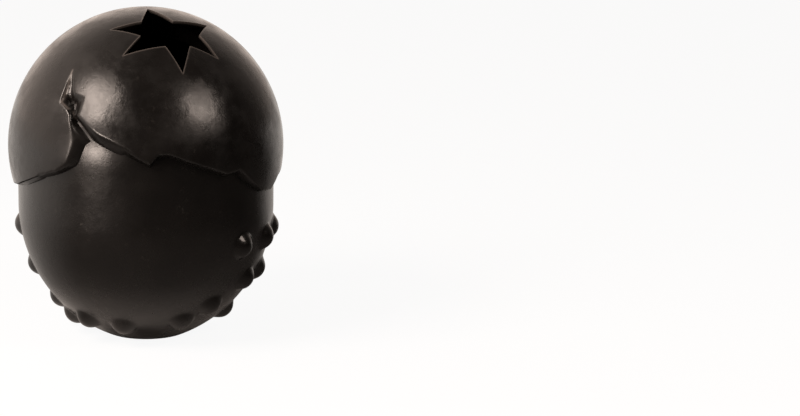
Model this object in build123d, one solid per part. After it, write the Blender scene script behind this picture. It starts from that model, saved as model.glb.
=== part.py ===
from build123d import *

import math
import os

# Treat dispensing ball of moulded rubber: a hollow egg shaped ball with a flat foot and rounded nubs,
# a cracked shell over its upper half, and a star mouth whose six flaps bend in and out.
# Units are millimetres and degrees. The origin is the centre of the foot, +Z is up, and the mouth
# leans towards -Y. An azimuth counts from the front (-Y) towards +X.

# Ball: foot, lower curve, upright waist and dome
BALL_RADIUS = 46.5
BALL_WALL = 7.0
FLOOR_THICKNESS = 8.0
FOOT_RADIUS = 15.0
BELLY_HEIGHT = 48.6
WAIST_LENGTH = 21.2

# Cracked shell, bonded over the dome
SHELL_THICKNESS = 3.5
BOND_LINE = 0.1
EDGE_BEVEL_DROP = 22.0
EDGE_REACH = 1.6
# Half of the crack's width, and a little more, as an angle about the dome's centre
CRACK_HALF_SPAN = 21.0

# Star mouth
MOUTH_TILT = 25.5
STAR_TIP_RADIUS = 20.0
MOUTH_MARGIN = 1.5
# Arms of the star, a little uneven: angle of each tip round the mouth's axis
STAR_TIPS = [-92, -40, 22, 90, 154, 201]
# Notches after each tip: angle, and distance from the mouth's axis
STAR_NOTCHES = [(-56, 10.0), (-8, 11.8), (56, 8.2), (129, 10.8), (182, 10.2), (246, 8.6)]

# Flaps between the arms of the star, each turning about a rounded root
FLAP_INSET = 3.8
ROOT_MARGIN = 0.9
HINGE_CLEARANCE = 0.2

# Ring bonded into the ball round the mouth, with a lapped joint
RING_LAND = 13.0
LAP_STEP = 8.0
LAP_HEIGHT = 3.0

# Nubs, each a low round dome
NUB_WIDTH = 10.0
FOOT_NUB_STAND = 3.6
BACK_NUB_STAND = 3.0

# Nubs round the foot: azimuth, and height on the ball
FOOT_NUBS = [
    (-113, 12.0), (-97, 7.5), (-67, 9.5), (-38, 8.5), (3, 10.5), (19, 16.0),
    (63, 8.5), (92, 8.5), (121, 8.5), (150, 8.5), (179, 8.5), (208, 8.5), (234, 8.5),
]
# Rows of nubs over the lower back: height on the ball, first azimuth, last azimuth
BACK_ROWS = [
    (24.0, 40, 243),
    (38.5, 28, 241),
]
BACK_NUB_PITCH = 22

# Lower edge of the shell: azimuth, and latitude on the shell
SHELL_EDGE = [
    (-95, -14.0), (-70, -5.1), (-60.6, -1.9), (-55.8, 1.4), (-30.5, 8.9), (-19.5, 3.3), (-15.8, 7.4),
    (-11.7, 7.5), (-3.6, 4.1), (7.9, -0.2), (14, -2.8), (21, -2.0), (28, -8.0), (38, -14.0),
    (48, -15.5), (55, -11.0), (67, -9.5), (82, -15.5), (90, -11.0), (106, -9.0), (121, -15.5),
    (129, -12.0), (147, -8.5), (164, -15.0), (173, -11.5), (190, -9.5), (206, -15.5), (214, -12.5),
    (231, -10.5), (246, -15.5),
]
# Open crack, in steps up from below the shell's edge to its end. A step gives the left lip and the right
# lip, each by azimuth and latitude on the outside of the shell and then on its inside.
CRACK_STEPS = [
    ((-58.5, -2.5, -55.5, -4.0), (-21.0, 3.4, -20.0, -0.5)),
    ((-55.6, 2.9, -51.2, 3.0), (-29.2, 9.5, -29.5, 5.6)),
    ((-54.4, 6.7, -49.8, 7.0), (-34.6, 12.0, -34.5, 7.6)),
    ((-53.7, 9.8, -48.6, 10.1), (-40.4, 14.6, -40.2, 9.9)),
    ((-53.7, 11.7, -46.2, 12.0), (-42.8, 16.2, -45.2, 12.5)),
    ((-54.6, 16.8, -51.4, 16.9), (-47.3, 19.0, -50.4, 17.5)),
    ((-56.0, 22.0, -56.4, 21.2), (-52.0, 21.8, -55.4, 21.4)),
    ((-58.0, 24.1, -59.2, 23.6), (-51.2, 23.6, -56.4, 23.4)),
    ((-62.8, 26.3, -65.2, 26.8), (-50.9, 29.6, -57.0, 27.2)),
    ((-62.6, 32.3, -65.4, 31.0), (-57.0, 30.6, -63.4, 29.0)),
    ((-63.8, 40.5, -65.6, 33.5), (-63.8, 40.5, -65.6, 33.5)),
]

# Sizes worked out from those above
DOME_HEIGHT = BELLY_HEIGHT + WAIST_LENGTH
SHELL_RADIUS = BALL_RADIUS + SHELL_THICKNESS
SHELL_SEAT_RADIUS = BALL_RADIUS + BOND_LINE
CRACK_OVERCUT = SHELL_RADIUS * (1 - math.cos(math.radians(CRACK_HALF_SPAN)))
BELLY_STEP = BALL_RADIUS - FOOT_RADIUS
BELLY_CURVE = (BELLY_STEP**2 + BELLY_HEIGHT**2) / (2 * BELLY_STEP)
BELLY_CENTRE = BALL_RADIUS - BELLY_CURVE
MOUTH_RADIUS = STAR_TIP_RADIUS + MOUTH_MARGIN
RING_RADIUS = MOUTH_RADIUS + RING_LAND
RING_SEAM = math.sqrt(BALL_RADIUS**2 - RING_RADIUS**2)
LAP_RADIUS = MOUTH_RADIUS + LAP_STEP
REACH = 2 * SHELL_RADIUS
ROOT_RADIUS = SHELL_THICKNESS / 2 + ROOT_MARGIN
STAR_ARMS = len(STAR_TIPS)

# Frame of the mouth: origin at the dome's centre, Z out through the middle of the star
MOUTH = Location((0, 0, DOME_HEIGHT), (MOUTH_TILT, 0, 0))


def shell_point(azimuth, latitude, radius):
    """Point at an azimuth, latitude and radius about the dome's centre."""
    turn = math.radians(azimuth)
    lift = math.radians(latitude)
    out = radius * math.cos(lift)
    return Vector(out * math.sin(turn), -out * math.cos(turn), DOME_HEIGHT + radius * math.sin(lift))


def triangle_area(corners):
    """Area of a triangle."""
    a, b, c = corners
    return (b - a).cross(c - a).length / 2


def closed_solid(corner_lists):
    """Solid bounded by flat faces, each given by its corners."""
    return Solid(Shell([Face(Wire.make_polygon(corners)) for corners in corner_lists]))


def ball_solid(inset, floor):
    """Solid of the ball's outline, taken in by an inset and cut flat at a floor height."""
    curve = BELLY_CURVE - inset
    side = BALL_RADIUS - inset
    foot_angle = math.asin((BELLY_HEIGHT - floor) / curve)
    foot = BELLY_CENTRE + curve * math.cos(foot_angle)
    half = foot_angle / 2
    belly_middle = (BELLY_CENTRE + curve * math.cos(half), BELLY_HEIGHT - curve * math.sin(half))
    dome_middle = (side * math.sqrt(0.5), DOME_HEIGHT + side * math.sqrt(0.5))
    outline = [
        Line((0, floor), (foot, floor)),
        ThreePointArc((foot, floor), belly_middle, (side, BELLY_HEIGHT)),
        Line((side, BELLY_HEIGHT), (side, DOME_HEIGHT)),
        ThreePointArc((side, DOME_HEIGHT), dome_middle, (0, DOME_HEIGHT + side)),
        Line((0, DOME_HEIGHT + side), (0, floor)),
    ]
    return revolve(Plane.XZ * make_face(Curve() + outline), Axis.Z)


def mouth_cylinder(radius, start, end):
    """Cylinder on the mouth's axis, between two distances from the dome's centre."""
    return MOUTH * Pos(0, 0, (start + end) / 2) * Cylinder(radius, end - start)


def nub(azimuth, height, stand):
    """Ball whose outer part is a nub standing square on the lower curve."""
    slope = math.asin((BELLY_HEIGHT - height) / BELLY_CURVE)
    out = BELLY_CENTRE + BELLY_CURVE * math.cos(slope)
    turn = math.radians(azimuth)
    front = Vector(math.sin(turn), -math.cos(turn), 0)
    normal = front * math.cos(slope) - Vector(0, 0, math.sin(slope))
    radius = (NUB_WIDTH**2 / 4 + stand**2) / (2 * stand)
    return Pos(front * out + Vector(0, 0, height) + normal * (stand - radius)) * Sphere(radius)


def nub_places():
    """Azimuth, height and stand of every nub."""
    places = [(azimuth, height, FOOT_NUB_STAND) for azimuth, height in FOOT_NUBS]
    for height, first, last in BACK_ROWS:
        steps = round((last - first) / BACK_NUB_PITCH)
        pitch = (last - first) / steps
        places += [(first + pitch * index, height, BACK_NUB_STAND) for index in range(steps + 1)]
    return places


def mouth_point(angle, radius):
    """Point in the mouth's frame at an angle round its axis and a distance from it."""
    turn = math.radians(angle)
    return Vector(radius * math.cos(turn), radius * math.sin(turn), 0)


def star_tip(index):
    """Tip of one arm of the star in the mouth's frame."""
    return mouth_point(STAR_TIPS[index % STAR_ARMS], STAR_TIP_RADIUS)


def star_notch(index):
    """Notch between one arm of the star and the next, in the mouth's frame."""
    return mouth_point(*STAR_NOTCHES[index])


def mouth_prism(corners):
    """Prism along the mouth's axis, in the mouth's frame, through everything on one side."""
    return extrude(make_face(Polyline(*corners, close=True)), REACH)


def layer_height(radius, distance):
    """Height of a sphere of a radius over the mouth's frame, at a distance from the mouth's axis."""
    return math.sqrt(radius**2 - distance**2)


def flap_base(index):
    """Ends of the line where a flap's blade leaves its root, on the edges of the star."""
    notch = star_notch(index)
    return [tip + (notch - tip).normalized() * FLAP_INSET for tip in (star_tip(index), star_tip(index + 1))]


def flap_hinge(index):
    """Ends of a flap's hinge line in the mouth's frame, at the height of its axis."""
    ends = flap_base(index)
    along = (ends[1] - ends[0]).normalized()
    outward = along.cross(Vector(0, 0, 1))
    ends = [end + outward * ROOT_RADIUS for end in ends]
    middle_radius = (SHELL_RADIUS + SHELL_SEAT_RADIUS) / 2
    crest = layer_height(middle_radius, ((ends[0] + ends[1]) / 2).length)
    side = layer_height(middle_radius, max(end.length for end in ends))
    lift = Vector(0, 0, (crest + side) / 2)
    return ends[0] + lift, ends[1] + lift


def flap_region(index, clearance):
    """Space of one flap in the mouth's frame, with a clearance round its root."""
    start, end = flap_hinge(index)
    near_start, near_end = flap_base(index)
    gap = (end - start).normalized() * clearance
    blade = mouth_prism([star_notch(index), near_start, near_end])
    far_start, far_end = Vector(start.X, start.Y, 0), Vector(end.X, end.Y, 0)
    heel = mouth_prism([near_start - gap, far_start - gap, far_end + gap, near_end + gap])
    axis = Plane((start + end) / 2, z_dir=end - start)
    root = axis * Cylinder(ROOT_RADIUS + clearance, (end - start).length + 2 * clearance)
    return blade + heel + root


def make_ball():
    """Hollow ball with its nubs and its round mouth, before the ring is parted from it."""
    nubs = [nub(*place) for place in nub_places()]
    below_foot = Pos(0, 0, -REACH / 2) * Box(2 * REACH, 2 * REACH, REACH)
    outside = ball_solid(0, 0).fuse(*nubs) - below_foot
    return outside - ball_solid(BALL_WALL, FLOOR_THICKNESS) - mouth_cylinder(MOUTH_RADIUS, 0, REACH)


def make_body(ball):
    """Body of the ball with the lip that the ring laps."""
    lip = mouth_cylinder(LAP_RADIUS, RING_SEAM, RING_SEAM + LAP_HEIGHT)
    return ball - (mouth_cylinder(REACH, RING_SEAM, REACH) - lip)


def make_ring(ball):
    """Ring that closes the ball round its mouth."""
    lap = mouth_cylinder(LAP_RADIUS + BOND_LINE, RING_SEAM, RING_SEAM + LAP_HEIGHT + BOND_LINE)
    return (ball & mouth_cylinder(REACH, RING_SEAM, REACH)) - lap


def make_shell():
    """Cracked shell with its jagged bevelled edge, its open crack and the star."""
    shell = Pos(0, 0, DOME_HEIGHT) * Sphere(SHELL_RADIUS) - ball_solid(-BOND_LINE, 0)
    focus = Vector(0, 0, DOME_HEIGHT - EDGE_BEVEL_DROP)
    top = Vector(0, 0, DOME_HEIGHT + REACH)
    rim = [focus + (shell_point(*place, SHELL_RADIUS) - focus) * EDGE_REACH for place in SHELL_EDGE]
    sides = list(zip(rim, rim[1:] + rim[:1]))
    upper = closed_solid([[focus, a, b] for a, b in sides] + [[top, a, b] for a, b in sides])
    mouth = mouth_prism([corner(index) for index in range(STAR_ARMS) for corner in (star_tip, star_notch)])
    for index in range(STAR_ARMS):
        mouth += flap_region(index, HINGE_CLEARANCE)
    return (shell & upper) - crack_wedge() - MOUTH * mouth


def crack_lip(azimuth, latitude, inner_azimuth, inner_latitude):
    """Outer and inner ends of a line down one lip of the crack, a little past both faces of the shell."""
    outer = shell_point(azimuth, latitude, SHELL_RADIUS)
    inner = shell_point(inner_azimuth, inner_latitude, SHELL_SEAT_RADIUS)
    slope = (outer - inner) / SHELL_THICKNESS
    return outer + slope * CRACK_OVERCUT, inner - slope * BOND_LINE


def crack_wedge():
    """Wedge that opens the crack between its bevelled lips."""
    faces = []
    steps = [crack_lip(*left) + crack_lip(*right) for left, right in CRACK_STEPS]
    for below, above in zip(steps, steps[1:]):
        for a, b in ((0, 1), (1, 3), (3, 2), (2, 0)):
            faces += [[below[a], below[b], above[b]], [below[a], above[b], above[a]]]
    left_outer, left_inner, right_outer, right_inner = steps[0]
    faces += [[left_outer, left_inner, right_inner], [left_outer, right_inner, right_outer]]
    return closed_solid([face for face in faces if triangle_area(face) > 0])


def make_flap(index):
    """One rubber tongue of the star."""
    layer = Sphere(SHELL_RADIUS) - Sphere(SHELL_SEAT_RADIUS)
    return MOUTH * (layer & flap_region(index, 0))


def export_node(shape, name):
    """Write one node's solids to its own file."""
    shape.label = name
    export_step(shape, f"parts/{name}.step")
    print(f"{name}: {len(shape.solids())} solid, {shape.volume / 1000:.2f} cm3")


os.makedirs("parts", exist_ok=True)
whole_ball = make_ball()
export_node(make_body(whole_ball), "ball_body")
export_node(make_ring(whole_ball), "mouth_ring")
export_node(make_shell(), "shell_cap")
for number in range(STAR_ARMS):
    export_node(make_flap(number), f"mouth_flap_{number + 1}")
    hinge = [MOUTH * Pos(point) for point in flap_hinge(number)]
    print("  hinge from", hinge[0].position, "to", hinge[1].position)
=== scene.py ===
"""Treat dispensing ball of black rubber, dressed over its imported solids.

Lengths are metres and angles degrees. The origin is the middle of the foot, +Z is up and the mouth
leans towards -Y. An azimuth counts from the front (-Y) towards +X, a latitude up from the dome's equator.
"""
import logging
import math
from collections import Counter
from dataclasses import dataclass
from enum import Enum
from typing import Sequence, Union

import bmesh
import bpy
import numpy as np
from bmesh.types import BMEdge, BMesh, BMFace, BMVert
from mathutils import Matrix, Vector
from mathutils.geometry import intersect_point_line


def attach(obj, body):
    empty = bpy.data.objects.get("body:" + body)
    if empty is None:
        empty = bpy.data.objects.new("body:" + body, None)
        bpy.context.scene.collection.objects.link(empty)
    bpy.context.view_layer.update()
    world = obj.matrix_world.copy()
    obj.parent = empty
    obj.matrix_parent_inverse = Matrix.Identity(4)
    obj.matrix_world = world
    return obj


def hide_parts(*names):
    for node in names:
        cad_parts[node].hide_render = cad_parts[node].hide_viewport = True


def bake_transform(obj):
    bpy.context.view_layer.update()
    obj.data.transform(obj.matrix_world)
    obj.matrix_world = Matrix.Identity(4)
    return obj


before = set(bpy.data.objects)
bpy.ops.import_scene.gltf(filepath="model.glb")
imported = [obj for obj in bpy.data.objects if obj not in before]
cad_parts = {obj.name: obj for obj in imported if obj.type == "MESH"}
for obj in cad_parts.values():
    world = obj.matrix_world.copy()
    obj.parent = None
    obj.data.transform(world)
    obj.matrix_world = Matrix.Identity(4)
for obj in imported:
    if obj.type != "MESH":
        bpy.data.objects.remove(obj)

LOG = logging.getLogger("treat_ball")
MM = 0.001
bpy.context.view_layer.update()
# Vertex attribute that marks where a pale highlight is painted along edges.
PAINTED_HIGHLIGHT = "painted_highlight"
Place = tuple[float, float]
Colour = tuple[float, float, float, float]
Lip = tuple[float, float, float, float]
Stops = tuple[tuple[float, float], ...]
WHITE: Colour = (1.0, 1.0, 1.0, 1.0)


class Body(Enum):
    """Moving bodies of the part that do not carry a number."""

    BALL = "ball"


class Slot(Enum):
    """Material slots of the record."""

    BALL = "ball_rubber"
    SHELL = "shell_rubber"
    FLAP = "flap_rubber"


class Lamp(Enum):
    """Kinds of lamp in the studio."""

    SOFT_BOX = "SQUARE"
    STRIP = "RECTANGLE"


# Shader graph


class Wire:
    """Output of a shader node, with arithmetic that adds Math nodes."""

    def __init__(self, graph: "Graph", socket: bpy.types.NodeSocket) -> None:
        """Hold a node's output and the graph that it belongs to."""
        self.graph = graph
        self.socket = socket

    def maths(self, operation: str, *values: "Term") -> "Wire":
        """Output of a new Math node with these inputs, in order."""
        return self.graph.node("ShaderNodeMath", {"operation": operation}, dict(enumerate(values)))

    def __add__(self, other: "Term") -> "Wire":
        """Sum with a number or another wire."""
        return self.maths("ADD", self, other)

    __radd__ = __add__

    def __sub__(self, other: "Term") -> "Wire":
        """Difference with a number or another wire."""
        return self.maths("SUBTRACT", self, other)

    def __rsub__(self, other: "Term") -> "Wire":
        """A number less this wire."""
        return self.maths("SUBTRACT", other, self)

    def __mul__(self, other: "Term") -> "Wire":
        """Product with a number or another wire."""
        return self.maths("MULTIPLY", self, other)

    __rmul__ = __mul__


Term = Union[Wire, float]


class Graph:
    """Node tree of a material or of the world, filled through one method."""

    def __init__(self, tree: bpy.types.NodeTree) -> None:
        """Start from an empty tree."""
        self.tree = tree
        tree.nodes.clear()

    def node(self, kind: str, settings: dict[str, object], inputs: dict, output: Union[int, str] = 0) -> Wire:
        """Add a node.

        Args:
            kind: type name of the node.
            settings: attributes set first; "stops" gives a ramp's positions and colours.
            inputs: values or wires by socket name or number.
            output: name or number of the wanted output.

        Returns:
            That output as a wire.
        """
        made = self.tree.nodes.new(kind)
        for name, value in settings.items():
            if name == "stops":
                self.fill_ramp(made.color_ramp, value)
            else:
                setattr(made, name, value)
        for key, value in inputs.items():
            if isinstance(value, Wire):
                self.tree.links.new(value.socket, made.inputs[key])
            else:
                made.inputs[key].default_value = value
        return Wire(self, made.outputs[output] if len(made.outputs) else None)

    @staticmethod
    def fill_ramp(ramp: bpy.types.ColorRamp, stops: Sequence[tuple[float, float]]) -> None:
        """Set a grey ramp's stops.

        Args:
            ramp: the ramp.
            stops: position and grey of each stop, two or more.
        """
        while len(ramp.elements) < len(stops):
            ramp.elements.new(1.0)
        for element, (position, grey) in zip(ramp.elements, stops):
            element.position = position
            element.color = (grey, grey, grey, 1.0)

    def noise(self, scale: float, detail: float, coords: Wire, roughness: float = 0.55) -> Wire:
        """Noise over the piece, with a scale in cells to a metre, about 0.5 on average."""
        values = {"Vector": coords, "Scale": scale, "Detail": detail, "Roughness": roughness}
        return self.node("ShaderNodeTexNoise", {}, values, "Fac")

    def ramp(self, value: Wire, *stops: tuple[float, float]) -> Wire:
        """Grey ramp over a value."""
        return self.node("ShaderNodeValToRGB", {"stops": stops}, {"Fac": value})

    def mix(self, share: Term, first: object, second: object) -> Wire:
        """Mix of two colours."""
        values = {0: share, 6: first, 7: second}
        return self.node("ShaderNodeMix", {"data_type": "RGBA"}, values, 2)

    def dot(self, vector: Wire, direction: Vector) -> Wire:
        """Length of a vector along a direction."""
        values = {0: vector, 1: direction}
        return self.node("ShaderNodeVectorMath", {"operation": "DOT_PRODUCT"}, values, "Value")


# Finishes


@dataclass(frozen=True)
class Speckle:
    """Noise that is cut off below one value and full above another."""

    scale: float
    detail: float
    low: float
    high: float
    fineness: float = 0.55

    def drawn(self, graph: Graph, coords: Wire) -> Wire:
        """Pattern over the piece, from 0 to 1."""
        noise = graph.noise(self.scale, self.detail, coords, self.fineness)
        return graph.ramp(noise, (self.low, 0.0), (self.high, 1.0))


@dataclass(frozen=True)
class RubberFinish:
    """Moulded natural rubber, black, with a faint pale bloom and small scuffs, and pale painted highlights
    along marked edges.
    """

    name: str
    deep: Colour = (0.0044, 0.0039, 0.0036, 1.0)
    bloom: Colour = (0.0106, 0.0094, 0.0086, 1.0)
    scuff: Colour = (0.036, 0.032, 0.029, 1.0)
    # Pale grey painted along the marked edges as a highlight.
    painted_highlight_colour: Colour = (0.095, 0.084, 0.077, 1.0)
    clouds: Speckle = Speckle(38.0, 4.0, 0.34, 0.72)
    flecks: Speckle = Speckle(420.0, 3.0, 0.60, 0.74, 0.7)
    patches: Speckle = Speckle(70.0, 2.0, 0.48, 0.66)
    blotches: Speckle = Speckle(115.0, 3.0, 0.36, 0.66, 0.6)
    bloom_share: float = 0.7
    scuff_share: float = 0.5
    roughness: float = 0.29
    bloom_dulling: float = 0.08
    scuff_dulling: float = 0.10
    blotch: float = 0.16
    blotch_relief: float = 3.0
    fine_grain: tuple[float, float] = (1500.0, 2.0)
    fine_share: float = 0.3
    coarse_grain: tuple[float, float] = (260.0, 3.0)
    grain: float = 0.12
    grain_depth: float = 0.6 * MM

    def material(self) -> bpy.types.Material:
        """Material of this finish.

        Returns:
            A new material with its nodes.
        """
        made = bpy.data.materials.new(self.name)
        made.use_nodes = True
        graph = Graph(made.node_tree)
        coords = graph.node("ShaderNodeTexCoord", {}, {}, "Object")
        clouds = self.clouds.drawn(graph, coords)
        scuffs = self.flecks.drawn(graph, coords) * self.patches.drawn(graph, coords)
        blotches = self.blotches.drawn(graph, coords)
        # Painted highlight: the marked edges are mixed towards a pale grey.
        painted_highlight = graph.node("ShaderNodeAttribute", {"attribute_name": PAINTED_HIGHLIGHT}, {}, "Fac")
        colour = graph.mix(clouds * self.bloom_share, self.deep, self.bloom)
        colour = graph.mix(scuffs * self.scuff_share, colour, self.scuff)
        colour = graph.mix(painted_highlight, colour, self.painted_highlight_colour)
        rough = (clouds - 0.5) * self.bloom_dulling + (blotches - 0.5) * self.blotch
        rough = rough + scuffs * self.scuff_dulling + self.roughness
        relief = graph.noise(*self.fine_grain, coords) * self.fine_share
        relief = relief + graph.noise(*self.coarse_grain, coords)
        relief = relief + blotches * (self.blotch * self.blotch_relief)
        values = {"Strength": self.grain, "Distance": self.grain_depth, "Height": relief}
        bump = graph.node("ShaderNodeBump", {}, values, "Normal")
        values = {"Base Color": colour, "Roughness": rough, "Normal": bump}
        shader = graph.node("ShaderNodeBsdfPrincipled", {}, values)
        graph.node("ShaderNodeOutputMaterial", {}, {"Surface": shader})
        return made


@dataclass(frozen=True)
class PaleFloorFinish:
    """Pale floor that keeps the ball's shadow and shows almost white. In reflections it glows white on one
    side, is dim elsewhere and has a painted pool of light round the foot.
    """

    bright: Vector
    warmth: Colour
    name: str = "pale_floor"
    colour: Colour = (0.95, 0.95, 0.95, 1.0)
    thrown: Colour = (0.15, 0.15, 0.15, 1.0)
    glow: float = 0.92
    dim: Colour = (0.06, 0.06, 0.06, 1.0)
    # Painted pool of light: in reflections the floor goes from dim to lit towards the foot.
    lit: Colour = (0.65, 0.65, 0.65, 1.0)
    painted_pool: Stops = ((0.030, 1.0), (0.055, 0.28), (0.085, 0.15), (0.20, 0.0))
    mirrored: Stops = ((0.49, 0.0), (0.57, 0.58), (0.72, 1.0))
    middle: float = 0.5

    def material(self) -> bpy.types.Material:
        """Material of the floor.

        Returns:
            A new material with its nodes.
        """
        made = bpy.data.materials.new(self.name)
        made.use_nodes = True
        graph = Graph(made.node_tree)
        seen = graph.node("ShaderNodeLightPath", {}, {}, "Is Camera Ray")
        glossy = graph.node("ShaderNodeLightPath", {}, {}, "Is Glossy Ray")
        coords = graph.node("ShaderNodeTexCoord", {}, {}, "Object")
        mirrored = glossy * graph.ramp(graph.dot(coords, self.bright) + self.middle, *self.mirrored)
        away = graph.node("ShaderNodeVectorMath", {"operation": "LENGTH"}, {0: coords}, "Value")
        # Painted pool of light round the foot, seen only in reflections.
        reflected = graph.mix(graph.ramp(away, *self.painted_pool), self.dim, self.lit)
        colour = graph.mix(glossy, graph.mix(seen, self.thrown, self.colour), reflected)
        plain = graph.node("ShaderNodeBsdfDiffuse", {}, {"Color": colour})
        tint = graph.mix(glossy, WHITE, self.warmth)
        white = graph.node("ShaderNodeEmission", {}, {"Color": tint, "Strength": 1.0})
        values = {0: seen * self.glow + mirrored, 1: plain, 2: white}
        surface = graph.node("ShaderNodeMixShader", {}, values)
        graph.node("ShaderNodeOutputMaterial", {}, {"Surface": surface})
        return made


# Shapes shared by the pieces


def on_sphere(azimuth: float, latitude: float) -> Vector:
    """Unit vector at an azimuth and a latitude."""
    turn, lift = math.radians(azimuth), math.radians(latitude)
    return Vector((math.cos(lift) * math.sin(turn), -math.cos(lift) * math.cos(turn), math.sin(lift)))


def places(bm: BMesh) -> np.ndarray:
    """Places of a bmesh's vertices, one to a row."""
    return np.array([vert.co[:] for vert in bm.verts])


def verts_of(made: Sequence[object]) -> list[BMVert]:
    """Vertices among what an operator made."""
    return [item for item in made if isinstance(item, BMVert)]


def mesh_object(name: str, bm: BMesh, crease: float = 50.0) -> bpy.types.Object:
    """Turn a finished bmesh into an object, smooth except at creases.

    Args:
        name: name of the object.
        bm: the bmesh, which is freed.
        crease: angle between faces past which an edge stays sharp.

    Returns:
        The new object, at the origin.
    """
    limit = math.radians(crease)
    for face in bm.faces:
        face.smooth = True
    for edge in bm.edges:
        edge.smooth = edge.calc_face_angle(0.0) < limit
    mesh = bpy.data.meshes.new(name)
    bm.to_mesh(mesh)
    bm.free()
    made = bpy.data.objects.new(name, mesh)
    bpy.context.scene.collection.objects.link(made)
    LOG.info("%s: %d faces", name, len(mesh.polygons))
    return made


@dataclass(frozen=True)
class Mouth:
    """Frame of the star mouth, with its Z axis out through the middle of the star."""

    dome_height: float = 69.8 * MM
    tilt: float = 25.5
    tips: tuple[float, ...] = (-92, -40, 22, 90, 154, 201)
    notches: tuple[Place, ...] = (
        (-56, 10.0 * MM), (-8, 11.8 * MM), (56, 8.2 * MM),
        (129, 10.8 * MM), (182, 10.2 * MM), (246, 8.6 * MM),
    )
    tip_radius: float = 20.0 * MM
    seam_radius: float = 23.5 * MM
    segments: int = 192

    @property
    def centre(self) -> Vector:
        """Middle of the dome."""
        return Vector((0, 0, self.dome_height))

    @property
    def matrix(self) -> Matrix:
        """Matrix from the mouth's frame to the part's frame."""
        return Matrix.Translation(self.centre) @ Matrix.Rotation(math.radians(self.tilt), 4, "X")

    @property
    def axis(self) -> Vector:
        """Direction out of the mouth."""
        return self.matrix.to_3x3() @ Vector((0, 0, 1))

    @staticmethod
    def flat(angle: float, distance: float) -> Vector:
        """Place in the mouth's plane, at an angle round its axis and a distance from it."""
        return Vector((distance * math.cos(math.radians(angle)), distance * math.sin(math.radians(angle))))

    def point(self, angle: float, distance: float, height: float) -> Vector:
        """Point of the part at an angle round the mouth's axis, a distance from it and a height along it."""
        return self.matrix @ Vector((*self.flat(angle, distance), height))

    def on_layer(self, angle: float, distance: float, radius: float) -> Vector:
        """Point on a sphere round the dome's middle, by its place round and from the mouth's axis."""
        return self.point(angle, distance, math.sqrt(radius**2 - distance**2))

    def column(self, number: int) -> int:
        """Segment of the mouth's seam at which an arm of the star points."""
        turns, index = divmod(number, len(self.tips))
        return round((self.tips[index] + 360 * turns) * self.segments / 360)


class Sketch:
    """Line of edges drawn in a bmesh, ready to be spun."""

    def __init__(self, bm: BMesh, start: Vector) -> None:
        """Set the pen down on a point."""
        self.bm = bm
        self.others = set(bm.verts)
        self.pen = bm.verts.new(start)

    def line(self, target: Vector, steps: int) -> "Sketch":
        """Draw a straight line to a point, in so many edges."""
        return self.swept(target, Vector((0, 0, 1)), 0.0, (target - self.pen.co) / steps, steps)

    def arc(self, centre: Vector, axis: Vector, angle: float, steps: int) -> "Sketch":
        """Draw an arc about an axis through its middle, in so many edges."""
        return self.swept(centre, axis, math.radians(angle), Vector(), steps)

    def swept(self, centre: Vector, axis: Vector, angle: float, shift: Vector, steps: int) -> "Sketch":
        """Sweep the pen.

        Args:
            centre: point on the axis.
            axis: axis that the pen turns about.
            angle: whole turn in radians.
            shift: shift at each step.
            steps: number of edges.

        Returns:
            This sketch.
        """
        made = bmesh.ops.spin(
            self.bm, geom=[self.pen], cent=centre, axis=axis, dvec=shift, angle=angle, steps=steps
        )
        self.pen = verts_of(made["geom_last"])[0]
        return self

    def verts(self) -> list[BMVert]:
        """Vertices drawn since the pen was set down."""
        return [vert for vert in self.bm.verts if vert not in self.others]

    def edges(self) -> list[BMEdge]:
        """Edges drawn since the pen was set down."""
        return list({edge for vert in self.verts() for edge in vert.link_edges})

    def spin(self, centre: Vector, axis: Vector, segments: int, closed: float = 1e-6) -> list[BMVert]:
        """Spin the line round a full turn.

        Args:
            centre: point on the axis.
            axis: direction of the axis.
            segments: number of segments.
            closed: distance under which vertices at a pole become one.

        Returns:
            The vertices of the spun skin.
        """
        bmesh.ops.spin(
            self.bm, geom=self.verts() + self.edges(), cent=centre, axis=axis, angle=2 * math.pi,
            steps=segments, use_merge=True,
        )
        bmesh.ops.remove_doubles(self.bm, verts=self.verts(), dist=closed)
        return self.verts()


def faces_round(verts: Sequence[BMVert]) -> list:
    """Vertices with the edges and faces that join them.

    Args:
        verts: the vertices.

    Returns:
        Vertices, edges and faces in one list.
    """
    edges = {edge for vert in verts for edge in vert.link_edges}
    faces = {face for vert in verts for face in vert.link_faces}
    return list(verts) + list(edges) + list(faces)


# Sub-assemblies


@dataclass
class Nub:
    """Rounded nub low on the ball."""

    centre: Vector
    normal: Vector
    stand: float


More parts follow.
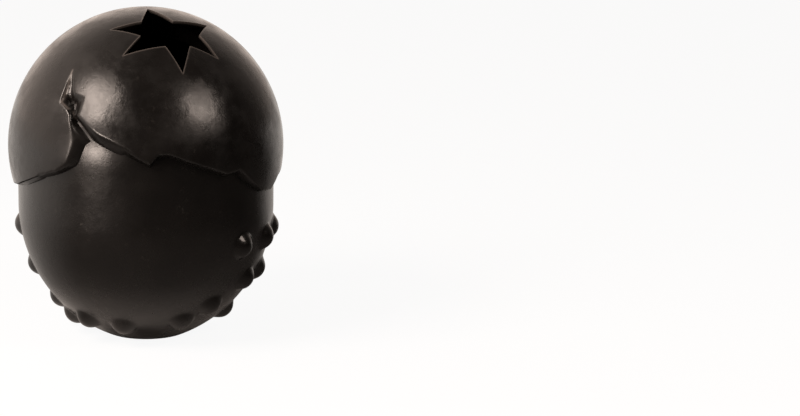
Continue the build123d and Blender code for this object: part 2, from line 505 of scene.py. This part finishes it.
@dataclass
class BallSkin:
    """Hollow ball with its foot, its nubs and the lip under the mouth ring."""

    mouth: Mouth
    finish: RubberFinish
    radius: float = 46.5 * MM
    wall: float = 7.0 * MM
    floor: float = 8.0 * MM
    foot_radius: float = 15.0 * MM
    belly_height: float = 48.6 * MM
    bore: float = 21.5 * MM
    ring_radius: float = 34.5 * MM
    lap_radius: float = 29.5 * MM
    lap_height: float = 3.0 * MM
    segments: int = 240
    outer_steps: tuple[int, ...] = (7, 84, 10, 16)
    outer_top: float = 70.0
    inner_steps: tuple[int, ...] = (5, 18, 5, 20)
    inner_top: float = 84.0
    nub_bands: tuple[tuple[float, float], ...] = ((0.0, 1.25), (0.8, 1.1))
    nub_out_of_reach: float = 10.0
    nub_width: float = 10.0 * MM
    nub_rounding: float = 0.75 * MM
    nub_fullness: float = 2.3
    foot_stand: float = 2.9 * MM
    back_stand: float = 3.0 * MM
    foot_nubs: tuple[Place, ...] = (
        (-113, 12.0), (-97, 7.5), (-67, 9.5), (-38, 8.5), (3, 10.5), (19, 16.0),
        (63, 8.5), (92, 8.5), (121, 8.5), (150, 8.5), (179, 8.5), (208, 8.5), (234, 8.5),
    )
    back_rows: tuple[tuple[float, float, float, int], ...] = ((24.0, 40, 243, 10), (38.5, 28, 241, 11))

    @property
    def belly_curve(self) -> float:
        """Radius of the lower curve's outline."""
        step = self.radius - self.foot_radius
        return (step**2 + self.belly_height**2) / (2 * step)

    def nubs(self) -> list[Nub]:
        """Every nub, seated on the lower curve.

        Returns:
            The nubs of the foot and of the back rows.
        """
        places = [(azimuth, height, self.foot_stand) for azimuth, height in self.foot_nubs]
        for height, first, last, number in self.back_rows:
            step = (last - first) / (number - 1)
            places += [(first + step * index, height, self.back_stand) for index in range(number)]
        return [self.seated(azimuth, height * MM, stand) for azimuth, height, stand in places]

    def seated(self, azimuth: float, height: float, stand: float) -> Nub:
        """One nub on the lower curve.

        Args:
            azimuth: where it is round the ball.
            height: where it is over the foot.
            stand: how far it stands out.

        Returns:
            The nub.
        """
        slope = math.asin((self.belly_height - height) / self.belly_curve)
        out = self.radius - self.belly_curve + self.belly_curve * math.cos(slope)
        front = on_sphere(azimuth, 0)
        up = Vector((0, 0, 1))
        normal = front * math.cos(slope) - up * math.sin(slope)
        return Nub(front * out + up * height, normal, stand)

    def half_outline(
        self, bm: BMesh, inset: float, floor: float, steps: Sequence[int], top: float
    ) -> Sketch:
        """Half outline of the ball from the middle of its foot upwards.

        Args:
            bm: bmesh to draw in.
            inset: distance inside the ball's outside.
            floor: height of the flat.
            steps: edges of the flat, lower curve, waist and dome.
            top: latitude on the dome at which the outline ends.

        Returns:
            The sketch.
        """
        curve = self.belly_curve - inset
        side = self.radius - inset
        inner = self.radius - self.belly_curve
        angle = math.asin((self.belly_height - floor) / curve)
        axis = Vector((0, -1, 0))
        sketch = Sketch(bm, Vector((0, 0, floor)))
        sketch.line(Vector((inner + curve * math.cos(angle), 0, floor)), steps[0])
        sketch.arc(Vector((inner, 0, self.belly_height)), axis, math.degrees(angle), steps[1])
        sketch.line(Vector((side, 0, self.mouth.dome_height)), steps[2])
        return sketch.arc(self.mouth.centre, axis, top, steps[3])

    def reach(self, nub: Nub, points: np.ndarray) -> np.ndarray:
        """Distance of points from the middle of a nub, 1 at the edge of its footprint.

        Args:
            nub: the nub.
            points: places on the skin, one to a row.

        Returns:
            The distances, large on the far side of the ball.
        """
        away = points - np.array(nub.centre)
        rise = away @ np.array(nub.normal)
        aside = np.linalg.norm(away - np.outer(rise, np.array(nub.normal)), axis=1)
        return np.where(np.abs(rise) < self.nub_width, aside * 2 / self.nub_width, self.nub_out_of_reach)

    def refine(self, bm: BMesh, nearest: float, farthest: float) -> None:
        """Divide the faces round the nubs once.

        Args:
            bm: bmesh of the ball's outside.
            nearest: least distance from a nub's middle.
            farthest: greatest distance from it.
        """
        points = places(bm)
        reach = np.min([self.reach(nub, points) for nub in self.nubs()], axis=0)
        chosen = (reach > nearest) & (reach < farthest)
        bm.verts.index_update()
        faces = {face for vert in bm.verts if chosen[vert.index] for face in vert.link_faces}
        edges = {edge for face in faces for edge in face.edges}
        bmesh.ops.subdivide_edges(bm, edges=list(edges), cuts=1, use_grid_fill=True)

    def raise_nubs(self, bm: BMesh) -> None:
        """Push the nubs out of the skin as low rounded mounds.

        Args:
            bm: bmesh of the ball's outside.
        """
        points = places(bm)
        moved = points.copy()
        for nub in self.nubs():
            mound = nub.stand * (1 - self.reach(nub, points) ** self.nub_fullness)
            lift = (mound + np.hypot(mound, self.nub_rounding)) / 2
            moved += np.outer(lift, np.array(nub.normal))
        moved[:, 2] = np.maximum(moved[:, 2], 0)
        for vert, place in zip(bm.verts, moved):
            vert.co = place

    def stepped(self, bm: BMesh, loop: list, distance: float, height: float) -> list:
        """Extrude a loop round the mouth to a new distance and height.

        Args:
            bm: bmesh of the ball.
            loop: edges of the loop.
            distance: new distance from the mouth's axis.
            height: new height over the dome's middle.

        Returns:
            Edges of the new loop.
        """
        made = bmesh.ops.extrude_edge_only(bm, edges=loop)["geom"]
        back = self.mouth.matrix.inverted()
        for vert in verts_of(made):
            place = back @ vert.co
            vert.co = self.mouth.point(math.degrees(math.atan2(place.y, place.x)), distance, height)
        return [item for item in made if isinstance(item, BMEdge) and item.is_boundary]

    def cut_off(self, bm: BMesh, verts: Sequence[BMVert], height: float) -> None:
        """Cut a skin off square to the mouth's axis, at a height over the dome's middle."""
        mouth = self.mouth
        bmesh.ops.bisect_plane(
            bm, geom=faces_round(verts), plane_co=mouth.point(0, 0, height), plane_no=mouth.axis,
            clear_outer=True,
        )

    def build(self) -> bpy.types.Object:
        """Model the skin.

        Returns:
            The ball's object.
        """
        bm = bmesh.new()
        up = Vector((0, 0, 1))
        seam = math.sqrt(self.radius**2 - self.ring_radius**2)
        lip = math.sqrt((self.radius - self.wall) ** 2 - self.bore**2)
        outside = self.half_outline(bm, 0, 0, self.outer_steps, self.outer_top)
        outside.spin(Vector(), up, self.segments)
        for nearest, farthest in self.nub_bands:
            self.refine(bm, nearest, farthest)
        self.raise_nubs(bm)
        self.cut_off(bm, bm.verts[:], seam)
        loop = [edge for edge in bm.edges if edge.is_boundary]
        loop = self.stepped(bm, loop, self.lap_radius, seam)
        loop = self.stepped(bm, loop, self.lap_radius, seam + self.lap_height)
        loop = self.stepped(bm, loop, self.bore, seam + self.lap_height)
        inside = self.half_outline(bm, self.wall, self.floor, self.inner_steps, self.inner_top)
        self.cut_off(bm, inside.spin(Vector(), up, self.segments // 2), lip)
        bmesh.ops.bridge_loops(bm, edges=[edge for edge in bm.edges if edge.is_boundary])
        bmesh.ops.recalc_face_normals(bm, faces=bm.faces[:])
        return mesh_object("ball_skin", bm)

    def dress(self, made: bpy.types.Object) -> None:
        """Give the skin its finish and its place in the part.

        Args:
            made: the ball's object.
        """
        made.data.materials.append(self.finish.material())
        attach(made, Body.BALL.value)
        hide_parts("ball_body")


class Outline:
    """Closed line on the shell, with distances to it."""

    cuts_to_radian = 60

    def __init__(self, points: Sequence[Vector], centre: Vector, radius: float) -> None:
        """Keep the line's corners.

        Args:
            points: corners in order, each given as a direction from the centre; the line is closed.
            centre: middle of the dome.
            radius: of the sphere that distances are measured on.
        """
        self.corners = np.array([point[:] for point in [*points, points[0]]])
        self.centre = np.array(centre[:])
        self.radius = radius

    def near(self, points: np.ndarray, first: int, last: int) -> np.ndarray:
        """Distance of points from a run of the line.

        Args:
            points: places near the shell, one to a row.
            first: first corner of the run.
            last: last corner of the run.

        Returns:
            The distances.
        """
        away = points - self.centre
        away = away / np.linalg.norm(away, axis=1, keepdims=True)
        near = np.full(len(away), np.inf)
        for start, end in zip(self.corners[first:last], self.corners[first + 1:last + 1]):
            step = end - start
            share = np.clip((away - start) @ step / (step @ step), 0, 1)
            foot = start + share[:, None] * step
            near = np.minimum(near, np.linalg.norm(away - foot, axis=1))
        return near * self.radius

    @staticmethod
    def flat(directions: np.ndarray) -> np.ndarray:
        """Map directions to a plane round the top of the dome.

        Args:
            directions: unit vectors, one to a row.

        Returns:
            Plane coordinates, one pair to a row.
        """
        polar = np.arccos(np.clip(directions[:, 2], -1, 1))
        turn = np.arctan2(directions[:, 1], directions[:, 0])
        return np.stack([polar * np.cos(turn), polar * np.sin(turn)], axis=1)

    def signed(self, points: np.ndarray) -> np.ndarray:
        """Signed distance of points from the line.

        Args:
            points: places near the shell, one to a row.

        Returns:
            Distances, positive past the line and negative on the shell's side.
        """
        away = points - self.centre
        away = away / np.linalg.norm(away, axis=1, keepdims=True)
        spot = self.flat(away)
        inside = np.zeros(len(away), bool)
        for start, end in zip(self.corners, self.corners[1:]):
            step = end - start
            cuts = max(2, int(np.linalg.norm(step) * self.cuts_to_radian) + 1)
            run = start + np.linspace(0, 1, cuts)[:, None] * step
            run = self.flat(run / np.linalg.norm(run, axis=1, keepdims=True))
            for (ax, ay), (bx, by) in zip(run, run[1:]):
                crosses = (ay > spot[:, 1]) != (by > spot[:, 1])
                if crosses.any():
                    inside ^= crosses & (spot[:, 0] < ax + (spot[:, 1] - ay) * (bx - ax) / (by - ay))
        return self.near(points, 0, len(self.corners) - 1) * np.where(inside, -1, 1)


Lines = tuple[Outline, Outline]


@dataclass
class ShellSkin:
    """Cracked shell over the dome, with a rounded jagged edge and an open crack."""

    mouth: Mouth
    finish: RubberFinish
    radius: float = 50.0 * MM
    seat: float = 46.55 * MM
    sunk: float = 46.1 * MM
    edge_drop: float = 22.0 * MM
    rounding: float = 0.75 * MM
    steepest: float = 0.75 * MM
    rolled: tuple[int, int] = (3, 8)
    roll: float = 0.7
    roll_reach: float = 5.0 * MM
    lowest: float = 137.0
    seam_strip: float = 0.5
    rows: int = 56
    fine_reach: tuple[float, ...] = (2.2 * MM, 1.1 * MM)
    finest_reach: float = 0.5 * MM
    thinnest: float = 0.05 * MM
    edge: tuple[Place, ...] = (
        (-95, -14.0), (-70, -5.1), (-60.6, -1.9), (-23.8, 5.5), (-19.5, 3.3), (-15.8, 7.4),
        (-11.7, 7.5), (-3.6, 4.1), (7.9, -0.2), (14, -2.8), (21, -2.0), (28, -8.0), (38, -14.0),
        (48, -15.5), (55, -11.0), (67, -9.5), (82, -15.5), (90, -11.0), (106, -9.0), (121, -15.5),
        (129, -12.0), (147, -8.5), (164, -15.0), (173, -11.5), (190, -9.5), (206, -15.5), (214, -12.5),
        (231, -10.5), (246, -15.5),
    )
    crack_after: int = 2
    # Runs of the crack's lines that get a painted highlight, and its width.
    highlight_lip: tuple[int, int] = (10, 13)
    highlight_foot: tuple[int, int] = (15, 18)
    highlight_foot_share: float = 0.9
    highlight_width: float = 0.3 * MM
    left_lip: tuple[Lip, ...] = (
        (-56.8, 0.7, -52.9, 0.4), (-55.6, 2.9, -51.2, 3.0), (-54.4, 6.7, -49.8, 7.0),
        (-53.7, 9.8, -48.6, 10.1), (-53.7, 11.7, -46.2, 12.0), (-54.6, 16.8, -51.4, 16.9),
        (-56.0, 22.0, -56.4, 21.2), (-58.0, 24.1, -57.4, 23.4), (-62.8, 26.3, -58.4, 27.1),
        (-62.6, 32.3, -63.9, 29.6), (-63.8, 40.5, -63.8, 33.5),
    )
    right_lip: tuple[Lip, ...] = (
        (-57.0, 30.6, -63.4, 29.0), (-50.9, 29.6, -57.0, 27.2), (-51.2, 23.6, -56.4, 23.4),
        (-52.0, 21.8, -55.4, 21.4), (-47.3, 19.0, -50.4, 17.5), (-42.8, 16.2, -45.2, 12.5),
        (-40.4, 14.6, -40.2, 9.9), (-34.6, 12.0, -34.5, 7.6), (-29.2, 9.5, -32.2, 6.8),
        (-26.8, 7.7, -30.5, 7.1),
    )

    def bevelled(self, place: Place) -> Vector:
        """Direction of the inner edge under a point of the shell's outer edge.

        Args:
            place: azimuth and latitude on the outer edge.

        Returns:
            A unit vector.
        """
        outer = on_sphere(*place) * self.radius
        slope = outer + Vector((0, 0, self.edge_drop))
        along = outer.dot(slope)
        gap = self.radius**2 - self.seat**2
        share = (along - math.sqrt(along**2 - slope.length_squared * gap)) / slope.length_squared
        return (outer - slope * share).normalized()

    def outlines(self) -> Lines:
        """Lines along which the shell's outside and inside end.

        Returns:
            The outer and the inner outline.
        """
        before, after = self.edge[: self.crack_after + 1], self.edge[self.crack_after + 1:]
        crack = self.left_lip + self.right_lip
        outer = [on_sphere(*place) for place in before + tuple(lip[:2] for lip in crack) + after]
        inner = [self.bevelled(place) for place in before]
        inner += [on_sphere(*lip[2:]) for lip in crack]
        inner += [self.bevelled(place) for place in after]
        return tuple(Outline(points, self.mouth.centre, self.radius) for points in (outer, inner))

    def measured(self, bm: BMesh, lines: Lines) -> tuple[np.ndarray, np.ndarray]:
        """Distance past the outer line, and width of the bevel, at each vertex.

        Args:
            bm: bmesh of the shell.
            lines: outer and inner outline.

        Returns:
            Both as arrays in the order of the vertices.
        """
        points = places(bm)
        past = lines[0].signed(points)
        return past, np.maximum(past - lines[1].signed(points), self.steepest)

    def drop(self, past: np.ndarray, width: np.ndarray, roll: np.ndarray) -> np.ndarray:
        """Drop of the surface over the bevel, rounded at its upper edge.

        Args:
            past: distance past the outer line.
            width: width of the bevel.
            roll: how much the bevel rolls over, from 0 for a straight one.

        Returns:
            Distance below the shell's outside.
        """
        soft = np.clip(past + self.rounding, 0, 2 * self.rounding) ** 2 / (4 * self.rounding)
        run = soft + np.maximum(past - self.rounding, 0)
        return (run / width) ** (1 + roll) * (self.radius - self.seat)

    def rolling(self, bm: BMesh, lines: Lines) -> np.ndarray:
        """How much the bevel rolls over at each vertex, most on the left side of the crack.

        Args:
            bm: bmesh of the shell.
            lines: outer and inner outline.

        Returns:
            The amounts in the order of the vertices.
        """
        points = places(bm)
        near = np.minimum(lines[0].near(points, *self.rolled), lines[1].near(points, *self.rolled))
        return self.roll * np.exp(-((near / self.roll_reach) ** 2))

    def refine(self, bm: BMesh, lines: Lines, reach: float, steep_only: bool = False) -> None:
        """Divide the faces along the edge and the crack once.

        Args:
            bm: bmesh of the shell.
            lines: outer and inner outline.
            reach: how far beside the bevel faces are divided.
            steep_only: whether only the steep lip of the crack is divided.
        """
        past, width = self.measured(bm, lines)
        bm.verts.index_update()
        wanted = []
        for face in bm.faces:
            places = [vert.index for vert in face.verts]
            beside = max(past[index] for index in places) > -reach
            within = min(past[index] - width[index] for index in places) < reach
            steep = not steep_only or min(width[index] for index in places) < 2 * self.steepest
            if beside and within and steep:
                wanted.append(face)
        edges = list({edge for face in wanted for edge in face.edges})
        bmesh.ops.subdivide_edges(bm, edges=edges, cuts=1, use_grid_fill=True)
        for vert in bm.verts:
            vert.co = self.mouth.centre + (vert.co - self.mouth.centre).normalized() * self.radius

    def paint_edge_highlights(self, bm: BMesh, lines: Lines, past: np.ndarray) -> None:
        """Mark the painted highlights along the crack's edges, its left lip above and the foot of its right
        side.

        Args:
            bm: bmesh of the shell.
            lines: outer and inner outline.
            past: distance past the outer line at each vertex.
        """
        layer = bm.verts.layers.float.new(PAINTED_HIGHLIGHT)
        points = places(bm)
        # Painted highlight: a pale line along the left lip's upper run and the foot of the right side.
        lip = np.exp(-((lines[0].near(points, *self.highlight_lip) / self.highlight_width) ** 2))
        foot = np.exp(-((lines[1].near(points, *self.highlight_foot) / self.highlight_width) ** 2))
        foot *= np.where(past > self.highlight_width, self.highlight_foot_share, 0)
        for vert, share in zip(bm.verts, np.maximum(lip, foot)):
            vert[layer] = share

    @staticmethod
    def unpinched(bm: BMesh, gone: set[BMFace]) -> list[BMFace]:
        """Faces to delete, less those that meet others only at a corner.

        Args:
            bm: bmesh of the shell.
            gone: faces past the shell's edge.

        Returns:
            The faces that can go and leave a plain edge.
        """
        pinched = True
        while pinched:
            inner = [edge for edge in bm.edges if not edge.is_boundary]
            rim = [edge for edge in inner if len(gone & set(edge.link_faces)) == 1]
            ends = [vert for edge in rim for vert in edge.verts]
            pinched = {vert for vert, number in Counter(ends).items() if number > 2}
            gone = gone - {face for vert in pinched for face in vert.link_faces}
        return list(gone)

    def build(self) -> bpy.types.Object:
        """Model the shell.

        Returns:
            The shell's object.
        """
        bm = bmesh.new()
        mouth = self.mouth
        side = mouth.matrix.to_3x3() @ Vector((0, 1, 0))
        first = math.degrees(math.asin(mouth.seam_radius / self.radius))
        sketch = Sketch(bm, mouth.on_layer(0, mouth.seam_radius, self.radius))
        sketch.arc(mouth.centre, side, self.seam_strip, 1)
        sketch.arc(mouth.centre, side, self.lowest - first - self.seam_strip, self.rows)
        sketch.spin(mouth.centre, mouth.axis, mouth.segments)
        lines = self.outlines()
        for reach in self.fine_reach:
            self.refine(bm, lines, reach)
        self.refine(bm, lines, self.finest_reach, steep_only=True)
        past, width = self.measured(bm, lines)
        low = np.minimum(self.drop(past, width, self.rolling(bm, lines)), self.radius - self.sunk)
        self.paint_edge_highlights(bm, lines, past)
        bm.verts.index_update()
        depth = self.radius - self.seat
        gone = {face for face in bm.faces if min(low[vert.index] for vert in face.verts) > depth}
        for vert, fall in zip(bm.verts, low):
            vert.co = mouth.centre + (vert.co - mouth.centre).normalized() * (self.radius - fall)
        bmesh.ops.delete(bm, geom=self.unpinched(bm, gone), context="FACES")
        made = bmesh.ops.extrude_face_region(bm, geom=bm.faces[:], use_keep_orig=True)["geom"]
        for vert in verts_of(made):
            away = vert.co - mouth.centre
            vert.co = mouth.centre + away.normalized() * min(self.seat, away.length - self.thinnest)
        bmesh.ops.recalc_face_normals(bm, faces=bm.faces[:])
        return mesh_object("shell_skin", bm)

    def dress(self, made: bpy.types.Object) -> None:
        """Give the shell its finish and its place in the part.

        Args:
            made: the shell's object.
        """
        made.data.materials.append(self.finish.material())
        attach(made, Body.BALL.value)
        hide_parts("shell_cap")


@dataclass
class MouthFlap:
    """One rubber tongue of the star with its share of the shell round it."""

    mouth: Mouth
    material: bpy.types.Material
    index: int
    radius: float = 50.0 * MM
    seat: float = 46.6 * MM
    seam_strip: float = 0.4 * MM
    lip_rounding: float = 0.45 * MM
    lip_thickness: float = 1.2 * MM
    lip_taper: float = 4.0 * MM
    highlight_width: float = 0.3 * MM
    lip_segments: int = 3
    rows: int = 24
    bend_outside: float = 0.6 * MM
    bend_inside: float = 4.6 * MM

    @property
    def name(self) -> str:
        """Name of the flap's body."""
        return f"flap_{self.index + 1}"

    def star_edge(self, bm: BMesh, columns: int) -> list:
        """Draw the flap's free edge from one arm of the star to the next.

        Args:
            bm: bmesh of the flap.
            columns: number of edges.

        Returns:
            The edges.
        """
        mouth = self.mouth
        count = len(mouth.tips)
        angle, distance = mouth.notches[self.index]
        share = (mouth.tips[(self.index + 1) % count] - mouth.tips[self.index]) % 360
        before = round(columns * ((angle - mouth.tips[self.index]) % 360) / share)
        sketch = Sketch(bm, mouth.point(mouth.tips[self.index], mouth.tip_radius, 0))
        sketch.line(mouth.point(angle, distance, 0), before)
        sketch.line(mouth.point(mouth.tips[(self.index + 1) % count], mouth.tip_radius, 0), columns - before)
        return sketch.edges()

    def laid(self, place: Vector, radius: float, inward: float = 1.0) -> Vector:
        """Point of the layer straight over a place in the mouth's plane.

        Args:
            place: the place, in the part's frame.
            radius: of the layer.
            inward: scale of the place's distance from the mouth's axis.

        Returns:
            The point.
        """
        flat = self.mouth.matrix.inverted() @ place
        distance = math.hypot(flat.x, flat.y) * inward
        return self.mouth.on_layer(math.degrees(math.atan2(flat.y, flat.x)), distance, radius)

    def edge_distance(self, place: Vector) -> float:
        """Distance from the flap's free edge, seen along the mouth's axis.

        Args:
            place: point in the mouth's frame.

        Returns:
            The distance.
        """
        mouth = self.mouth
        angle, distance = mouth.notches[self.index]
        notch = mouth.flat(angle, distance)
        distances = []
        for number in (self.index, self.index + 1):
            tip = mouth.flat(mouth.tips[number % len(mouth.tips)], mouth.tip_radius)
            share = intersect_point_line(place.xy, notch, tip)[1]
            distances.append((place.xy - notch.lerp(tip, min(max(share, 0), 1))).length)
        return min(distances)

    def build(self) -> bpy.types.Object:
        """Model the flap.

        Returns:
            The flap's object.
        """
        bm = bmesh.new()
        mouth = self.mouth
        first, last = mouth.column(self.index), mouth.column(self.index + 1)
        step = 360 / mouth.segments
        free = self.star_edge(bm, last - first)
        back = Sketch(bm, mouth.point(first * step, mouth.seam_radius - self.seam_strip, 0))
        back.arc(mouth.centre, mouth.axis, (last - first) * step, last - first)
        arc = back.edges()
        bmesh.ops.bridge_loops(bm, edges=free + arc)
        ends = {vert for edge in free for vert in edge.verts}
        rim = {vert for edge in arc for vert in edge.verts}
        from_lip = [edge for edge in bm.edges if len(ends & set(edge.verts)) == 1]
        across = [edge for edge in from_lip if len(rim & set(edge.verts)) == 1]
        bmesh.ops.subdivide_edges(bm, edges=across, cuts=self.rows - 1, use_grid_fill=True)
        strip = bmesh.ops.extrude_edge_only(bm, edges=arc)["geom"]
        for vert in verts_of(strip):
            away = vert.co - mouth.centre
            vert.co = mouth.centre + away * (mouth.seam_radius / away.length)
        for vert in bm.verts:
            vert.co = self.laid(vert.co, self.radius)
        under = bmesh.ops.extrude_face_region(bm, geom=bm.faces[:], use_keep_orig=True)["geom"]
        for vert in verts_of(under):
            flat = mouth.matrix.inverted() @ vert.co
            spread = math.hypot(flat.x, flat.y)
            share = min(max((spread - mouth.tip_radius) / (mouth.seam_radius - mouth.tip_radius), 0), 1)
            depth = self.radius - self.seat - self.lip_thickness
            taper = min(self.edge_distance(flat) / self.lip_taper, 1)
            underside = self.radius - self.lip_thickness - depth * taper
            vert.co = self.laid(vert.co, underside, 1 + share * (self.seat / self.radius - 1))
        bmesh.ops.recalc_face_normals(bm, faces=bm.faces[:])
        lip = [edge for edge in bm.edges if edge.verts[0] in ends and edge.verts[1] in ends]
        bmesh.ops.bevel(
            bm, geom=lip, offset=self.lip_rounding, affect="EDGES", segments=self.lip_segments, profile=0.5,
            material=-1, clamp_overlap=True,
        )
        self.paint_lip_highlight(bm)
        return mesh_object(f"star_{self.name}", bm)

    def paint_lip_highlight(self, bm: BMesh) -> None:
        """Mark the painted highlight along the star's upper edge.

        Args:
            bm: bmesh of the flap.
        """
        layer = bm.verts.layers.float.new(PAINTED_HIGHLIGHT)
        back = self.mouth.matrix.inverted()
        for vert in bm.verts:
            place = back @ vert.co
            # Painted highlight on the upper edge only, fading away from the free edge.
            if place.length > self.radius - self.lip_thickness / 2:
                vert[layer] = math.exp(-((self.edge_distance(place) / self.highlight_width) ** 2))

    def dress(self, made: bpy.types.Object) -> None:
        """Give the flap its finish, bake its place into its mesh and hide its solid.

        Args:
            made: the flap's object.
        """
        made.data.materials.append(self.material)
        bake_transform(made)
        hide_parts(f"mouth_{self.name}")


@dataclass
class MouthRing:
    """Ring under the shell, kept as its solid."""

    finish: RubberFinish

    def dress(self) -> None:
        """Give the ring its finish."""
        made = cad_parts["mouth_ring"]
        made.data.materials.clear()
        made.data.materials.append(self.finish.material())
        LOG.info("mouth_ring: kept as its solid")


# Studio


@dataclass
class PhotoCamera:
    """Camera at the viewing angle of the picture."""

    place: tuple[float, float, float] = (-385.0 * MM, -1003.1 * MM, 298.2 * MM)
    yaw: float = 25.96
    pitch: float = -13.19
    roll: float = 0.98
    lens: float = 135.0
    sensor: float = 36.0
    nearest: float = 10.0 * MM

    @property
    def axes(self) -> Matrix:
        """Right, up and backward directions as the columns of a matrix."""
        yaw, pitch, roll = (math.radians(angle) for angle in (self.yaw, self.pitch, self.roll))
        ahead = Vector((math.cos(pitch) * math.sin(yaw), math.cos(pitch) * math.cos(yaw), math.sin(pitch)))
        right = ahead.cross(Vector((0, 0, 1))).normalized()
        up = right.cross(ahead)
        level = right * math.cos(roll) + up * math.sin(roll)
        upright = up * math.cos(roll) - right * math.sin(roll)
        return Matrix((level, upright, -ahead)).transposed()

    def build(self) -> bpy.types.Object:
        """Make the scene's camera.

        Returns:
            The camera's object.
        """
        data = bpy.data.cameras.new("photo_camera")
        data.lens = self.lens
        data.sensor_width = self.sensor
        data.clip_start = self.nearest
        made = bpy.data.objects.new("photo_camera", data)
        made.matrix_world = Matrix.Translation(Vector(self.place)) @ self.axes.to_4x4()
        bpy.context.scene.collection.objects.link(made)
        bpy.context.scene.camera = made
        return made


@dataclass(frozen=True)
class LampSpec:
    """One lamp, by its direction from the ball as the camera sees it."""

    name: str
    kind: Lamp
    azimuth: float
    elevation: float
    distance: float
    size: tuple[float, float]
    watts: float


@dataclass
class Studio:
    """Pale floor, plain surroundings and soft lamps."""

    facing: float = -21.0
    aim: tuple[float, float, float] = (0.0, 0.0, 0.07)
    floor_radius: float = 4.0
    floor_segments: int = 96
    warmth: Colour = (1.0, 0.84, 0.74, 1.0)
    pale_warmth: Colour = (1.0, 0.91, 0.84, 1.0)
    bright_floor: float = -155.0
    bright_side: float = -100.0
    side_light: Stops = ((0.0, 0.02), (0.5, 0.06), (0.68, 0.22), (1.0, 1.00))
    back_light: Stops = ((0.5, 0.0), (0.75, 0.10), (0.90, 0.50), (1.0, 1.35))
    lamps: tuple[LampSpec, ...] = (
        LampSpec("left_box", Lamp.SOFT_BOX, -54, 39, 0.60, (0.28, 0.28), 4.0),
        LampSpec("right_box", Lamp.SOFT_BOX, 54, 34, 0.60, (0.22, 0.22), 1.2),
        LampSpec("low_strip", Lamp.STRIP, -45, 2, 0.60, (0.19, 0.09), 1.35),
    )

    def build_floor(self) -> None:
        """Lay the floor."""
        bm = bmesh.new()
        bmesh.ops.create_circle(bm, cap_ends=True, segments=self.floor_segments, radius=self.floor_radius)
        floor = mesh_object("studio_floor", bm)
        bright = on_sphere(self.facing + self.bright_floor, 0)
        floor.data.materials.append(PaleFloorFinish(bright, self.pale_warmth).material())

    def build_lamp(self, spec: LampSpec) -> None:
        """Hang one lamp.

        Args:
            spec: the lamp.
        """
        data = bpy.data.lights.new(spec.name, "AREA")
        data.shape = spec.kind.value
        data.size, data.energy = spec.size[0], spec.watts
        data.color = self.warmth[:3]
        if spec.kind is Lamp.STRIP:
            data.size_y = spec.size[1]
        made = bpy.data.objects.new(spec.name, data)
        out = on_sphere(self.facing + spec.azimuth, spec.elevation)
        made.location = Vector(self.aim) + out * spec.distance
        made.rotation_euler = out.to_track_quat("Z", "Y").to_euler()
        made.visible_camera = False
        bpy.context.scene.collection.objects.link(made)

    def facing_light(self, graph: Graph, ray: Wire, azimuth: float, stops: Stops) -> Wire:
        """Light by how far a ray points to one side, with stops from the far side, at 0, to it, at 1."""
        side = on_sphere(self.facing + azimuth, 0)
        return graph.ramp(graph.dot(ray, side) * 0.5 + 0.5, *stops)

    def build_world(self) -> None:
        """Surround the ball with light that is brightest behind it on the left, and white to the camera."""
        world = bpy.data.worlds.new("studio_world")
        world.use_nodes = True
        bpy.context.scene.world = world
        graph = Graph(world.node_tree)
        seen = graph.node("ShaderNodeLightPath", {}, {}, "Is Camera Ray")
        ray = graph.node("ShaderNodeTexCoord", {}, {}, "Object")
        level = self.facing_light(graph, ray, self.bright_side, self.side_light)
        level += self.facing_light(graph, ray, 180.0, self.back_light)
        values = {"Color": graph.mix(seen, self.warmth, WHITE), "Strength": seen * (1.0 - level) + level}
        surface = graph.node("ShaderNodeBackground", {}, values)
        graph.node("ShaderNodeOutputWorld", {}, {"Surface": surface})

    def build(self) -> None:
        """Set up the floor, the surroundings and the lamps."""
        self.build_floor()
        self.build_world()
        for spec in self.lamps:
            self.build_lamp(spec)


def main() -> None:
    """Build and dress every piece, then the studio and the camera."""
    logging.basicConfig(level=logging.INFO, format="%(message)s")
    bpy.context.scene.view_settings.view_transform = "Standard"
    mouth = Mouth()
    PhotoCamera().build()
    ball = BallSkin(mouth, RubberFinish("ball_rubber_skin", roughness=0.27, blotch=0.04))
    ball.dress(ball.build())
    MouthRing(RubberFinish("ring_rubber_skin")).dress()
    shell = ShellSkin(mouth, RubberFinish("shell_rubber_skin"))
    shell.dress(shell.build())
    flap_material = RubberFinish("flap_rubber_skin").material()
    for index in range(len(mouth.tips)):
        flap = MouthFlap(mouth, flap_material, index)
        flap.dress(flap.build())
    Studio().build()


if __name__ == "__main__":
    main()
